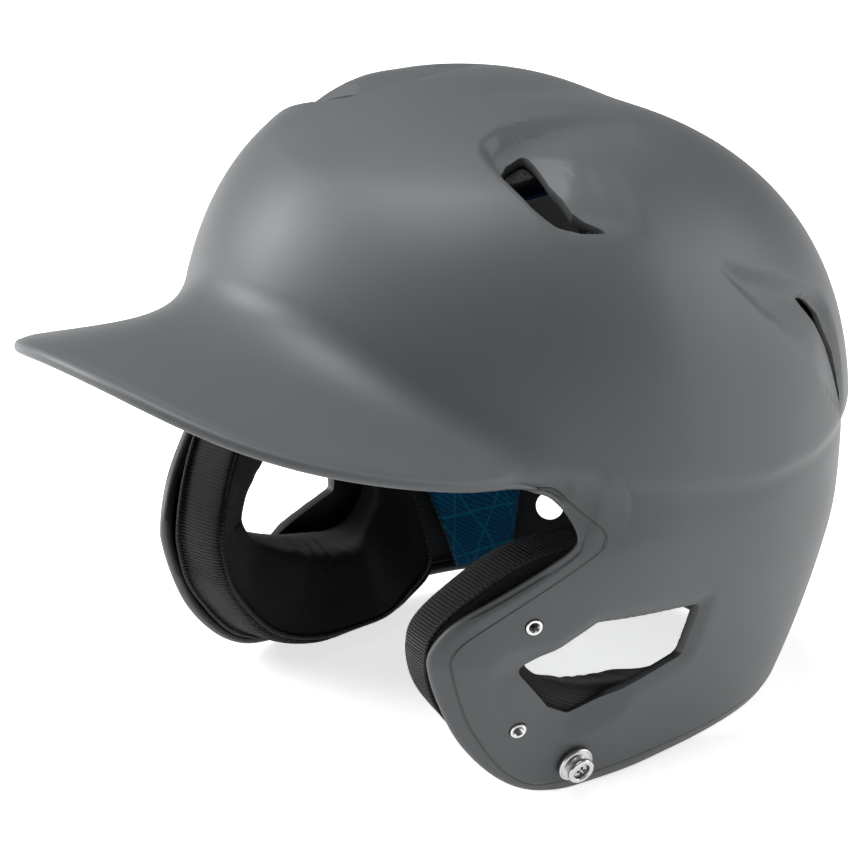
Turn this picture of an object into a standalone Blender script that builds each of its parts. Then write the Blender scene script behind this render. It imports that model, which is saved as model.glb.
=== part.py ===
"""Batting helmet with two ear flaps, a bill, impact foam, comfort pads and jaw pads.

+Z is up, the bill points to -Y and the wearer's left is +X. The helmet stands on the lower
edges of its ear flaps and on its nape edge, at z = 0, with its box centred on the Z axis.
Sizes are in millimetres and become metres where a point is made.
"""
import math

import bmesh
import bpy
from mathutils import Matrix, Vector

MM = 0.001

# ---- driving dimensions: the shell -------------------------------------------------------
HALF_WIDTH = 106.0          # widest half width of the shell, over the ears
FOREHEAD_REACH = 107.0      # ear line to forehead at the widest level
NAPE_REACH = 127.0          # ear line to the back of the head
WIDEST_LEVEL = 97.0         # height of the widest level
HEIGHT = 221.0              # height of the crown
CROWN_FORWARD = 14.0        # the crown lies this far in front of the ear line
WALL = 3.0                  # shell wall
FLOOR = 4.0                 # level of the ground under the helmet; heights here start lower
BILL_REACH = 170.0          # ear line to the tip of the bill
BILL_HALF_WIDTH = 93.0      # half width of the bill where it meets the sides
BILL_BACK = 48.0            # the bill's side edges end this far in front of the ear line
BILL_TIP_LEVEL = 166.0      # height of the bill's front edge
BILL_SIDE_LEVEL = 121.0     # height of the bill's edge at the sides
BROW_LEVEL = 155.0          # height where forehead and bill meet, at the middle
BROW_FILLET = 19.0          # height of the fillet between forehead and bill

# ---- driving dimensions: foam, pads and fasteners ----------------------------------------
GAP = 0.3                   # air between neighbouring pieces
LINER_GAP = 0.8             # air between the shell's faceted wall and what lies on its inside
PAD_GAP = 0.8               # air between a foam's faceted face and the pad on it
FOAM_THICKNESS = 13.0       # impact foam on the inside of the shell
PAD_THICKNESS = 8.0         # comfort pad on the foam
SIDE_PAD_THICKNESS = 7.0    # comfort pads that sit straight on the shell, behind the ears
PATCH_SIZE = 14.0           # side of a square hook-and-loop patch
PATCH_THICKNESS = 1.6
JAW_PAD_THICKNESS = 22.0
JAW_PAD_OVERHANG = 5.0      # the jaw pad's inner face is this much wider than its back
GUARD_NUT_BORE = 3.4        # thread of the face guard's nuts
GUARD_NUT_BARREL = 5.6
GUARD_NUT_FLANGE = 11.0
NUT_FLANGE_THICKNESS = 1.2
SNAP_FLANGE = 12.6          # chin strap snap: flange, stud and the screw in it
SNAP_FLANGE_THICKNESS = 1.4
SNAP_STUD = 9.4
SNAP_STUD_HEIGHT = 3.6
SNAP_SCREW_HEAD = 5.4
SNAP_SCREW_SHANK = 2.8
SNAP_SEAT = 0.9             # the snap's flange stands this far off the curved wall
FIT = 0.3                   # clearance round a barrel or a shank in its hole

Y_SHIFT = (BILL_REACH - NAPE_REACH) / 2

# side outline of the rim from the bill's side edge round the flap: (y, z), ear line at y = 0
NOTCH = [(-51, 120), (-45, 110), (-42.5, 103), (-45.5, 98)]
FLAP_FRONT = [(-65, 85), (-78, 75.5), (-84, 66), (-84, 57), (-80, 45), (-73, 31), (-61, 17), (-48, 8)]
FLAP_BOTTOM = [(-34, 3), (-20, 3), (-4, 4.5), (14, 6.5), (40, 8)]
NAPE_LEVELS = [(133, 8), (148, 6), (164, 3), (180, 3)]      # (angle, z) round the nape

EAR_HOLE = [(-58, 57), (-33, 71), (10.5, 66), (7, 47), (-36, 35.5), (-44, 40)]  # corners, (y, z)
EAR_HOLE_ROUNDING = 3.0
PAD_OUTLINE = [(-47, 93), (-64, 82), (-75, 73), (-79, 62), (-75, 47), (-66, 34), (-54, 22),
               (-40, 12), (-16, 9), (8, 11), (20, 26), (23, 48), (16, 70), (-4, 84), (-28, 91)]
PAD_HOLE = [(-34, 75), (-50, 67), (-54, 56), (-45, 47), (-30, 42), (-14, 39), (8, 45), (14, 58),
            (12, 69), (-10, 74)]
GUARD_NUTS = [(-56, 74), (-55.5, 34.5)]     # (y, z) on each flap
SNAP_PLACE = (-32, 16.5)
PAD_PATCHES = [(-70, 55), (-8, 26)]     # hook-and-loop patches behind each jaw pad

REAR_VENT = [(58, 160), (78, 146), (84, 112)]               # the long crescent's spine, (y, z)
NAPE_VENT = (138.0, 28.0, 9.0)          # angle, z and radius of the round lower vent


def smooth(t):
    """Ease from 0 to 1."""
    t = min(max(t, 0.0), 1.0)
    return t * t * (3 - 2 * t)


def wall_point(angle, z, depth=0.0):
    """A point of the head shell: angle 0 at the forehead, pi/2 at the left ear, depth inwards."""
    if depth:
        step = 0.01
        here = wall_point(angle, z)
        across = wall_point(angle + step, z) - wall_point(angle - step, z)
        low, high = max(z - 0.5, -6), min(z + 0.5, HEIGHT - 0.05)
        down = wall_point(angle, low) - wall_point(angle, high)
        return here + across.cross(down).normalized() * depth
    c, s = math.cos(angle), math.sin(angle)
    up = min(max((z - WIDEST_LEVEL) / (HEIGHT - WIDEST_LEVEL), 0.0), 1.0)
    down = max((WIDEST_LEVEL - z) / WIDEST_LEVEL, 0.0)
    arch = (2.6 if c > 0 else 2.03) * c * c + 2.8 * s * s
    size = (1 - up ** arch) ** (1 / arch)
    tuck = 1 - (0.24 + 0.04 * c) * down ** 1.15
    reach = FOREHEAD_REACH * (1 + 0.04 * down)
    if c <= 0:
        reach = NAPE_REACH * (1 - 0.02 * down - 0.22 * down ** 2)
    plan = 1.85 + 0.65 * min(max((110 - z) / 50, 0.0), 1.0) if c > 0 else 2.3
    k = (abs(c) ** plan + abs(s) ** plan) ** (-1 / plan)
    x = HALF_WIDTH * size * tuck * s * k
    y = -reach * size * c * k - CROWN_FORWARD * (1 - size)
    return Vector((x, y, z))


def angle_at(y, z):
    """The angle whose wall point has this y."""
    low, high = 0.0, math.pi
    for _ in range(40):
        middle = (low + high) / 2
        if wall_point(middle, z).y < y:
            low = middle
        else:
            high = middle
    return (low + high) / 2


def side_point(y, z, depth=0.0):
    """The wall point that the side view shows at (y, z)."""
    return wall_point(angle_at(y, z), z, depth)


def side_normal(y, z):
    """Outward direction of the wall there."""
    return (side_point(y, z) - side_point(y, z, 1.0)).normalized()


def chain_point(points, t, closed=False):
    """A smooth curve through points, t from 0 to 1 (Catmull-Rom)."""
    count = len(points)
    spans = count if closed else count - 1
    at = min(max(t, 0.0), 1.0) * spans
    i = min(int(at), spans - 1)
    f = at - i

    def pick(k):
        return points[k % count] if closed else points[min(max(k, 0), count - 1)]

    p0, p1, p2, p3 = pick(i - 1), pick(i), pick(i + 1), pick(i + 2)
    return tuple(0.5 * (2 * b + (c - a) * f + (2 * a - 5 * b + 4 * c - d) * f * f
                        + (3 * b - a - 3 * c + d) * f ** 3) for a, b, c, d in zip(p0, p1, p2, p3))


# ---- the shell's surface ------------------------------------------------------------------
BILL_RIBS, SIDE_RIBS = 12, 30
RIB_ROWS = 18
CROWN_ROWS = 9             # rows from the crown down to the start of the lower part


def bill_edge(turn):
    """Edge of the bill: turn 0 at the tip, pi/2 at the side."""
    c, s = math.cos(turn), math.sin(turn)
    k = (abs(c) ** 2.3 + abs(s) ** 2.3) ** (-1 / 2.3)
    ahead = c * k
    z = BILL_SIDE_LEVEL + (BILL_TIP_LEVEL - BILL_SIDE_LEVEL) * (0.73 * ahead + 0.27 * ahead ** 6)
    return Vector((BILL_HALF_WIDTH * s * k, -BILL_BACK - (BILL_REACH - BILL_BACK) * ahead, z))


def rim_side(t):
    """Rim from the end of the bill round the flap to the nape: a wall angle and a height."""
    outline = NOTCH + FLAP_FRONT + FLAP_BOTTOM
    places = [(math.degrees(angle_at(y, z)), z) for y, z in outline] + NAPE_LEVELS
    angle, z = chain_point(places, t)
    return math.radians(min(angle, 180.0)), z


def bill_rib(turn, row):
    """A rib from the crown down the forehead and out along the bill."""
    edge = bill_edge(turn)
    root_angle = turn * math.radians(64) / (math.pi / 2)
    drop = smooth(turn / (math.pi / 2)) ** 1.3
    root = BROW_LEVEL - drop * (BROW_LEVEL - BILL_SIDE_LEVEL - 6)
    start = root + BROW_FILLET
    if row <= CROWN_ROWS:
        return forehead_point(root_angle, start, row / CROWN_ROWS)
    t = (row - CROWN_ROWS) / (RIB_ROWS - CROWN_ROWS)
    top = wall_point(root_angle, start)
    corner = wall_point(root_angle, root)
    out = corner.lerp(edge, 0.45) + Vector((0, 0, 3.5 * math.cos(turn)))
    u = 1 - t
    return top * u ** 3 + corner * 3 * u * u * t + out * 3 * u * t * t + edge * t ** 3


def forehead_point(angle, low, t):
    """Down a line of constant angle from the crown (t 0) to the level low (t 1)."""
    rise = (low - WIDEST_LEVEL) / (HEIGHT - WIDEST_LEVEL)
    bottom = math.asin(min(max(rise, 0.0), 1.0))
    lift = math.sin(math.pi / 2 + (bottom - math.pi / 2) * t)
    return wall_point(angle, WIDEST_LEVEL + (HEIGHT - WIDEST_LEVEL) * lift)


def side_rib(t, row):
    """A rib from the crown down past the notch and along the wall to the rim."""
    rim_angle, rim_z = rim_side(t)
    top_angle = math.radians(64 + 116 * t ** 1.5)
    top_z = WIDEST_LEVEL + 28
    if row <= CROWN_ROWS:
        return forehead_point(top_angle, top_z, row / CROWN_ROWS)
    f = (row - CROWN_ROWS) / (RIB_ROWS - CROWN_ROWS)
    bend = max(top_angle - rim_angle, 0.0)
    hook = smooth(rim_z / 45)
    knee_angle = (top_angle + rim_angle) / 2 * (1 - hook) + (top_angle - 0.1 * bend) * hook
    knee_z = (top_z + rim_z) / 2 * (1 - hook) + (rim_z - 0.1 * math.degrees(bend)) * hook
    u = 1 - f
    angle = top_angle * u * u + knee_angle * 2 * u * f + rim_angle * f * f
    z = top_z * u * u + knee_z * 2 * u * f + rim_z * f * f
    return wall_point(angle, z)


def shell_point(column, row):
    """Point of the shell's outer surface on the left half, column 0 at the bill's middle."""
    if row == 0:
        return Vector((0, -CROWN_FORWARD, HEIGHT))
    if column <= BILL_RIBS:
        point = bill_rib(column / BILL_RIBS * math.pi / 2, row)
    else:
        point = side_rib((column - BILL_RIBS) / SIDE_RIBS, row)
    if column in (0, BILL_RIBS + SIDE_RIBS):
        point.x = 0.0
    return point


# ---- Blender helpers ------------------------------------------------------------------------
def new_collection(name):
    collection = bpy.data.collections.new(name)
    bpy.context.scene.collection.children.link(collection)
    return collection


def material(name, colour, roughness, metallic=0.0):
    mat = bpy.data.materials.get(name)
    if mat is None:
        mat = bpy.data.materials.new(name)
        mat.use_nodes = True
        shader = mat.node_tree.nodes["Principled BSDF"]
        shader.inputs["Base Color"].default_value = (*colour, 1)
        shader.inputs["Roughness"].default_value = roughness
        shader.inputs["Metallic"].default_value = metallic
    return mat


def place(point):
    """Millimetres about the ear line to metres about the box centre."""
    return Vector((point[0], point[1] + Y_SHIFT, point[2] - FLOOR)) * MM


def grid_object(name, columns, rows, point, mat, collection):
    """An object whose surface is a grid of columns by rows points, each given by point(i, j)."""
    bm = bmesh.new()
    bmesh.ops.create_grid(bm, x_segments=columns - 1, y_segments=rows - 1, size=0.5)
    for vert in bm.verts:
        i = round((vert.co.x + 0.5) * (columns - 1))
        j = round((vert.co.y + 0.5) * (rows - 1))
        vert.co = place(point(i, j))
    bmesh.ops.remove_doubles(bm, verts=bm.verts, dist=0.00002)
    bmesh.ops.recalc_face_normals(bm, faces=bm.faces)
    mesh = bpy.data.meshes.new(name)
    bm.to_mesh(mesh)
    bm.free()
    obj = bpy.data.objects.new(name, mesh)
    collection.objects.link(obj)
    if mat:
        mesh.materials.append(mat)
    mesh.shade_smooth()
    return obj


def face_outwards(obj, inside):
    """Turn an open surface so that its faces look away from the point inside."""
    mesh = obj.data
    votes = sum(1 if (p.center - inside).dot(p.normal) > 0 else -1 for p in mesh.polygons)
    if votes < 0:
        mesh.flip_normals()


def solidify(obj, thickness, offset=-1.0):
    mod = obj.modifiers.new("Wall", "SOLIDIFY")
    mod.thickness = thickness * MM
    mod.offset = offset
    mod.use_even_offset = False
    return mod


def cut(obj, cutter):
    mod = obj.modifiers.new("Cut " + cutter.name, "BOOLEAN")
    mod.operation = "DIFFERENCE"
    mod.solver = "EXACT"
    mod.object = cutter


def hide_cutter(obj):
    obj.hide_render = True
    obj.display_type = "WIRE"


def mirror_copy(obj, name, collection):
    """The right-hand twin of a left-hand piece: the same mesh turned over in X."""
    mesh = obj.data.copy()
    mesh.transform(Matrix.Diagonal((-1, 1, 1, 1)))
    mesh.flip_normals()
    twin = bpy.data.objects.new(name, mesh)
    collection.objects.link(twin)
    for mod in obj.modifiers:
        copy = twin.modifiers.new(mod.name, mod.type)
        copy.thickness = mod.thickness
        copy.offset = mod.offset
        copy.use_even_offset = mod.use_even_offset
    return twin


def turned(name, profile, origin, direction, mat, collection, steps=16):
    """A solid turned about direction through origin; the profile is (radius, height) pairs."""
    bm = bmesh.new()
    verts = [bm.verts.new((r * MM, 0, h * MM)) for r, h in profile]
    for a, b in zip(verts, verts[1:]):
        bm.edges.new((a, b))
    mesh = bpy.data.meshes.new(name)
    bm.to_mesh(mesh)
    bm.free()
    mesh.materials.append(mat)
    obj = bpy.data.objects.new(name, mesh)
    collection.objects.link(obj)
    screw = obj.modifiers.new("Turn", "SCREW")
    screw.steps = steps
    screw.render_steps = steps
    screw.use_merge_vertices = True
    screw.merge_threshold = 0.00001
    screw.use_smooth_shade = True
    obj.location = place(origin)
    obj.rotation_euler = direction.to_track_quat("Z", "Y").to_euler()
    return obj


def prism(name, outline, depth, collection):
    """A flat outline in the side view pushed right through from +X to -X."""
    curve = bpy.data.curves.new(name, "CURVE")
    curve.dimensions = "2D"
    curve.fill_mode = "BOTH"
    curve.extrude = depth / 2 * MM
    spline = curve.splines.new("POLY")
    spline.points.add(len(outline) - 1)
    for point, (y, z) in zip(spline.points, outline):
        point.co = ((y + Y_SHIFT) * MM, (z - FLOOR) * MM, 0, 1)
    spline.use_cyclic_u = True
    obj = bpy.data.objects.new(name, curve)
    collection.objects.link(obj)
    obj.matrix_world = Matrix(((0, 0, 1, 0), (1, 0, 0, 0), (0, 1, 0, 0), (0, 0, 0, 1)))
    bpy.context.view_layer.update()
    graph = bpy.context.evaluated_depsgraph_get()
    mesh = bpy.data.meshes.new_from_object(obj.evaluated_get(graph))
    bm = bmesh.new()
    bm.from_mesh(mesh)
    bmesh.ops.remove_doubles(bm, verts=bm.verts, dist=0.00001)
    bm.to_mesh(mesh)
    bm.free()
    solid = bpy.data.objects.new(name, mesh)
    collection.objects.link(solid)
    solid.matrix_world = obj.matrix_world.copy()
    bpy.data.objects.remove(obj)
    return solid


def rounded(corners, radius, steps=4):
    """An outline with each corner replaced by an arc-like bend."""
    points = []
    count = len(corners)
    for i, corner in enumerate(corners):
        here = Vector(corner)
        before = (Vector(corners[i - 1]) - here).normalized()
        after = (Vector(corners[(i + 1) % count]) - here).normalized()
        half = math.acos(max(-1.0, min(1.0, before.dot(after)))) / 2
        reach = radius / math.tan(half)
        start, end = here + before * reach, here + after * reach
        for k in range(steps + 1):
            t = k / steps
            points.append(tuple(start * (1 - t) ** 2 + here * 2 * t * (1 - t) + end * t * t))
    return points


# ---- the pieces ------------------------------------------------------------------------------
def make_shell(parts, cutters):
    columns = BILL_RIBS + SIDE_RIBS + 1
    shell = grid_object("outer_shell", columns, RIB_ROWS + 1, shell_point,
                        material("shell plastic", (0.115, 0.125, 0.13), 0.55), parts)
    face_outwards(shell, place((0, 0, 120)))
    mirror = shell.modifiers.new("Other half", "MIRROR")
    mirror.use_clip = True
    mirror.merge_threshold = 0.00005
    solidify(shell, WALL)
    shell.modifiers.new("Flat faces", "TRIANGULATE")
    for cutter in shell_cutters(cutters):
        hide_cutter(cutter)
        cut(shell, cutter)
    return shell


def shell_cutters(cutters):
    """The floor plane, ear holes, vents and fastener holes."""
    bpy.ops.mesh.primitive_cube_add(size=1, location=(0, 0, -20 * MM))
    floor = bpy.context.object
    floor.name = "floor_cutter"
    for collection in list(floor.users_collection):
        collection.objects.unlink(floor)
    cutters.objects.link(floor)
    floor.dimensions = (0.4, 0.5, 0.04)
    result = [floor]
    result.append(prism("ear_hole_cutter", rounded(EAR_HOLE, EAR_HOLE_ROUNDING), 300, cutters))
    for side in (1, -1):
        result.append(upper_vent_cutter(side, cutters))
        result.append(rear_vent_cutter(side, cutters))
        angle, z, radius = NAPE_VENT
        point = wall_point(math.radians(angle), z)
        inward = wall_point(math.radians(angle), z, 1.0) - point
        result.append(rod("nape_vent_cutter", point, -inward, radius, 40, side, cutters))
        for y, z in GUARD_NUTS:
            result.append(rod("nut_hole_cutter", side_point(y, z), side_normal(y, z),
                              GUARD_NUT_BARREL / 2 + FIT, 30, side, cutters))
        y, z = SNAP_PLACE
        result.append(rod("snap_hole_cutter", side_point(y, z), side_normal(y, z),
                          SNAP_SCREW_SHANK / 2 + FIT, 30, side, cutters))
    return result


def rod(name, point, direction, radius, length, side, collection):
    """A round cutter across the wall, mirrored to the other side when side is -1."""
    bpy.ops.mesh.primitive_cylinder_add(vertices=20, radius=radius * MM, depth=length * MM)
    obj = bpy.context.object
    obj.name = name
    for old in list(obj.users_collection):
        old.objects.unlink(obj)
    collection.objects.link(obj)
    point, direction = Vector(point), Vector(direction)
    point.x *= side
    direction.x *= side
    obj.location = place(point)
    obj.rotation_euler = direction.to_track_quat("Z", "Y").to_euler()
    return obj


def strip_cutter(name, spine, half_widths, side, collection):
    """A curved slot cutter: a bar of varying width along a spine on the wall."""
    steps = 10

    def point(i, j):
        t = i / steps
        y, z = chain_point(spine, t)
        y2, z2 = chain_point(spine, min(t + 0.02, 1.0))
        y1, z1 = chain_point(spine, max(t - 0.02, 0.0))
        along = (side_point(y2, z2) - side_point(y1, z1)).normalized()
        normal = side_normal(y, z)
        across = along.cross(normal)
        half = chain_point(half_widths, t)[0]
        corner = ((1, 1), (1, -1), (-1, -1), (-1, 1), (1, 1))[j]
        p = side_point(y, z) + across * half * corner[0] + normal * 12 * corner[1]
        p.x *= side
        return p

    obj = grid_object(name, steps + 1, 5, point, None, collection)
    bm = bmesh.new()
    bm.from_mesh(obj.data)
    bmesh.ops.holes_fill(bm, edges=[e for e in bm.edges if e.is_boundary])
    bmesh.ops.triangulate(bm, faces=bm.faces)
    bmesh.ops.recalc_face_normals(bm, faces=bm.faces)
    bm.to_mesh(obj.data)
    bm.free()
    return obj


def upper_vent_cutter(side, cutters):
    spine = [(-26, 215), (-31.5, 204.5), (-16, 197)]
    return strip_cutter("upper_vent_cutter", spine, [(3.0,), (5.0,), (1.6,)], side, cutters)


def rear_vent_cutter(side, cutters):
    return strip_cutter("rear_vent_cutter", REAR_VENT, [(0.8,), (4.0,), (1.2,)], side, cutters)


def patch_object(name, corners, depth, thickness, mat, parts, columns=7, rows=7):
    """A curved pad on the wall, between four (angle, z) corners, from depth inwards."""
    (a0, z0), (a1, z1), (a2, z2), (a3, z3) = corners

    def point(i, j):
        u, v = i / (columns - 1), j / (rows - 1)
        angle = (a0 * (1 - u) + a1 * u) * (1 - v) + (a3 * (1 - u) + a2 * u) * v
        z = (z0 * (1 - u) + z1 * u) * (1 - v) + (z3 * (1 - u) + z2 * u) * v
        sign = -1 if angle < 0 else 1
        p = wall_point(math.radians(abs(angle)), z, depth)
        return Vector((p.x * sign, p.y, p.z))

    obj = grid_object(name, columns, rows, point, mat, parts)
    face_outwards(obj, place((0, 0, 100)))
    solidify(obj, thickness)
    return obj


def crown_patch(name, radius, depth, thickness, mat, parts):
    """A round pad under the crown."""
    columns, rows = 21, 5

    def point(i, j):
        turn = i / (columns - 1) * 2 * math.pi
        reach = (j / (rows - 1)) * radius / HALF_WIDTH
        angle = turn if turn <= math.pi else 2 * math.pi - turn
        c, s = math.cos(angle), math.sin(angle)
        arch = (2.6 if c > 0 else 2.03) * c * c + 2.8 * s * s
        level = (1 - reach ** arch) ** (1 / arch)
        z = WIDEST_LEVEL + (HEIGHT - WIDEST_LEVEL) * level - 0.02
        p = wall_point(angle, z, depth)
        if j == 0:
            p = Vector((0, -CROWN_FORWARD, HEIGHT - depth))
        return Vector((p.x if turn <= math.pi else -p.x, p.y, p.z))

    obj = grid_object(name, columns, rows, point, mat, parts)
    face_outwards(obj, place((0, -CROWN_FORWARD, 100)))
    solidify(obj, thickness)
    return obj


def make_foams(parts):
    foam = material("impact foam", (0.02, 0.02, 0.022), 0.9)
    blue = material("blue printed fabric", (0.0, 0.16, 0.32), 0.8)
    depth = WALL + LINER_GAP
    pad_depth = depth + FOAM_THICKNESS + PAD_GAP
    front = [(-42, 197), (42, 197), (46, 166), (-46, 166)]
    rear = [(142, 150), (218, 150), (216, 62), (144, 62)]
    side = [(84, 178), (119, 172), (114, 112), (80, 112)]
    patch_object("front_foam", front, depth, FOAM_THICKNESS, foam, parts, 13, 5)
    rear_signed = [(142, 150), (180, 150), (180, 62), (144, 62)]
    rear_patch("rear_foam", rear_signed, depth, FOAM_THICKNESS, foam, parts)
    patch_object("left_side_foam", side, depth, FOAM_THICKNESS, foam, parts)
    patch_object("right_side_foam", [(-a, z) for a, z in side], depth, FOAM_THICKNESS, foam, parts)
    crown_patch("crown_foam", 52, depth, FOAM_THICKNESS, foam, parts)
    inset = [(-38, 193), (38, 193), (42, 169), (-42, 169)]
    patch_object("front_pad", inset, pad_depth, PAD_THICKNESS, blue, parts, 13, 5)
    rear_patch("rear_pad", [(146, 145), (180, 145), (180, 68), (148, 68)], pad_depth,
               PAD_THICKNESS, blue, parts)
    crown_patch("crown_pad", 46, pad_depth, PAD_THICKNESS, blue, parts)
    low_side = [(110, 66), (131, 66), (130, 13), (119, 9)]
    patch_object("left_side_pad", low_side, depth, SIDE_PAD_THICKNESS, blue, parts)
    patch_object("right_side_pad", [(-a, z) for a, z in low_side], depth, SIDE_PAD_THICKNESS,
                 blue, parts)


def rear_patch(name, corners, depth, thickness, mat, parts):
    """A pad across the back of the head: the left half given, the right half its mirror."""
    (a0, z0), (a1, z1), (a2, z2), (a3, z3) = corners
    columns, rows = 13, 7

    def point(i, j):
        u, v = i / (columns - 1) * 2 - 1, j / (rows - 1)
        w = 1 - abs(u)
        top = a0 + (a1 - a0) * w
        low = a3 + (a2 - a3) * w
        angle = top + (low - top) * v
        z = z0 + (z3 - z0) * v
        p = wall_point(math.radians(angle), z, depth)
        if u == 0:
            p.x = 0.0
        return Vector((-p.x if u > 0 else p.x, p.y, p.z))

    obj = grid_object(name, columns, rows, point, mat, parts)
    face_outwards(obj, place((0, 0, 100)))
    solidify(obj, thickness)
    return obj


def jaw_pad_point(turn, around):
    """Surface of the left jaw pad, a ring round the ear: turn round the ring, around its section."""
    outer = chain_point(PAD_OUTLINE, turn, closed=True)
    inner = chain_point(PAD_HOLE, turn, closed=True)
    back = WALL + LINER_GAP + PATCH_THICKNESS + GAP
    front = back + JAW_PAD_THICKNESS
    centre = Vector((-30, 56))
    wide = Vector(outer) + (Vector(outer) - centre).normalized() * JAW_PAD_OVERHANG
    section = [(Vector(inner), back), (Vector(outer), back), ((Vector(outer) + wide) / 2, back + 9),
               (wide, front - 7), (wide.lerp(Vector(inner), 0.10), front - 1.5),
               (wide.lerp(Vector(inner), 0.45), front), (Vector(inner).lerp(wide, 0.12), front - 1.5),
               (Vector(inner), front - 7)]
    (y, z), depth = section[around % len(section)]
    base = side_point(min(max(y, -88), 90), max(z, 6.0))
    inward = side_point(min(max(y, -88), 90), max(z, 6.0), 1.0) - base
    lean = Vector((-1, 0, 0)) * 0.75 + inward * 0.25
    return base + inward * back + lean.normalized() * (depth - back)


def make_jaw_pads(parts):
    mat = material("black fabric", (0.012, 0.012, 0.013), 0.95)
    columns, around = 33, 9

    def point(i, j):
        return jaw_pad_point((i % (columns - 1)) / (columns - 1), j)

    left = grid_object("left_jaw_pad", columns, around, point, mat, parts)
    if signed_volume(left.data) < 0:
        left.data.flip_normals()
    mirror_copy(left, "right_jaw_pad", parts)


def signed_volume(mesh):
    mesh.calc_loop_triangles()
    return sum(mesh.vertices[t.vertices[0]].co.dot(
        mesh.vertices[t.vertices[1]].co.cross(mesh.vertices[t.vertices[2]].co))
        for t in mesh.loop_triangles) / 6


def make_patches(parts):
    """Hook-and-loop patches that hold the jaw pads to the shell."""
    mat = material("hook-and-loop", (0.03, 0.03, 0.03), 1.0)
    names = ("front", "rear")
    for name, (y, z) in zip(names, PAD_PATCHES):
        half = PATCH_SIZE / 2

        def point(i, j, y=y, z=z):
            return side_point(y + (i / 2 - 1) * half, z - (j / 2 - 1) * half, WALL + LINER_GAP)

        left = grid_object("left_%s_patch" % name, 5, 5, point, mat, parts)
        face_outwards(left, place((0, y, z)))
        solidify(left, PATCH_THICKNESS)
        mirror_copy(left, "right_%s_patch" % name, parts)


def make_fasteners(parts):
    steel = material("bright steel", (0.75, 0.75, 0.76), 0.22, 1.0)
    zinc = material("zinc plate", (0.6, 0.6, 0.6), 0.35, 1.0)
    for side, side_name in ((1, "left"), (-1, "right")):
        for (y, z), place_name in zip(GUARD_NUTS, ("upper", "lower")):
            point, out = sided(side_point(y, z), side), sided(side_normal(y, z), side)
            back = -(WALL + LINER_GAP)
            bore, barrel, flange = GUARD_NUT_BORE / 2, GUARD_NUT_BARREL / 2, GUARD_NUT_FLANGE / 2
            low = back - NUT_FLANGE_THICKNESS
            profile = [(bore, 0.5), (barrel - 0.3, 0.5), (barrel, 0.2), (barrel, back), (flange, back),
                       (flange, low), (bore, low), (bore, 0.5)]
            turned("%s_%s_guard_nut" % (side_name, place_name), profile, point, out, steel, parts)
        y, z = SNAP_PLACE
        point, out = sided(side_point(y, z), side), sided(side_normal(y, z), side)
        base = SNAP_SEAT
        top = base + SNAP_FLANGE_THICKNESS
        stud_top = top + SNAP_STUD_HEIGHT
        hole, recess = SNAP_SCREW_SHANK / 2 + FIT, SNAP_SCREW_HEAD / 2 + FIT
        seat = stud_top - 1.9
        stud, flange = SNAP_STUD / 2, SNAP_FLANGE / 2
        profile = [(recess, stud_top), (stud - 0.7, stud_top), (stud, stud_top - 0.7),
                   (stud, stud_top - 1.5), (stud - 0.8, stud_top - 2.1), (stud - 0.8, top),
                   (flange - 0.4, top), (flange, top - 0.4), (flange, base), (hole, base),
                   (hole, seat), (recess, seat), (recess, stud_top)]
        turned("%s_snap_stud" % side_name, profile, point, out, steel, parts)
        head, shank = SNAP_SCREW_HEAD / 2, SNAP_SCREW_SHANK / 2
        head_low = seat + GAP
        tip = -(WALL + 2.3)
        profile = [(0, head_low + 1.0), (head - 0.5, head_low + 1.0), (head, head_low + 0.6),
                   (head, head_low), (shank, head_low), (shank, tip), (0, tip)]
        turned("%s_snap_screw" % side_name, profile, point, out, zinc, parts, 14)
        nut, nut_top = 4.5, -(WALL + LINER_GAP)
        bore = shank + FIT
        profile = [(bore, nut_top), (nut, nut_top), (nut, nut_top - 1.3), (bore, nut_top - 1.3),
                   (bore, nut_top)]
        turned("%s_snap_nut" % side_name, profile, point, out, zinc, parts, 6)


def sided(vector, side):
    return Vector((vector.x * side, vector.y, vector.z))


def main():
    for obj in list(bpy.data.objects):
        bpy.data.objects.remove(obj)
    parts = new_collection("batting_helmet")
    cutters = new_collection("cutters")
    make_shell(parts, cutters)
    make_foams(parts)
    make_jaw_pads(parts)
    make_patches(parts)
    make_fasteners(parts)


main()
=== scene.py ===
import math

import bmesh
import bpy
import numpy as np
from mathutils import Matrix, Vector


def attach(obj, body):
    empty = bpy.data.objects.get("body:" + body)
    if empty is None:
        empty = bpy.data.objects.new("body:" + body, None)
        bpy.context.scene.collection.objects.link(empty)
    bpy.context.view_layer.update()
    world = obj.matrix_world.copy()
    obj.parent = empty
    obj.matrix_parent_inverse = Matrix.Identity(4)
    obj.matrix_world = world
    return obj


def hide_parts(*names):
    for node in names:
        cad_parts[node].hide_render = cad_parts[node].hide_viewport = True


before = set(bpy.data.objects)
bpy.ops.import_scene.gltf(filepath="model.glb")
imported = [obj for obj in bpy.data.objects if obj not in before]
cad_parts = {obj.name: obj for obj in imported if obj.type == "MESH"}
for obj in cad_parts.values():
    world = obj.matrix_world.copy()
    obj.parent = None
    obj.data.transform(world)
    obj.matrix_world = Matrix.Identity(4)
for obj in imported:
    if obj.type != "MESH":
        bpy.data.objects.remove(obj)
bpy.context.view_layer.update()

# Lengths are in millimetres about the ear line, at the level of the flaps' lowest edge, until
# metres() turns them into the frame's metres. The bill points to -Y and +X is the left side.

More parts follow.
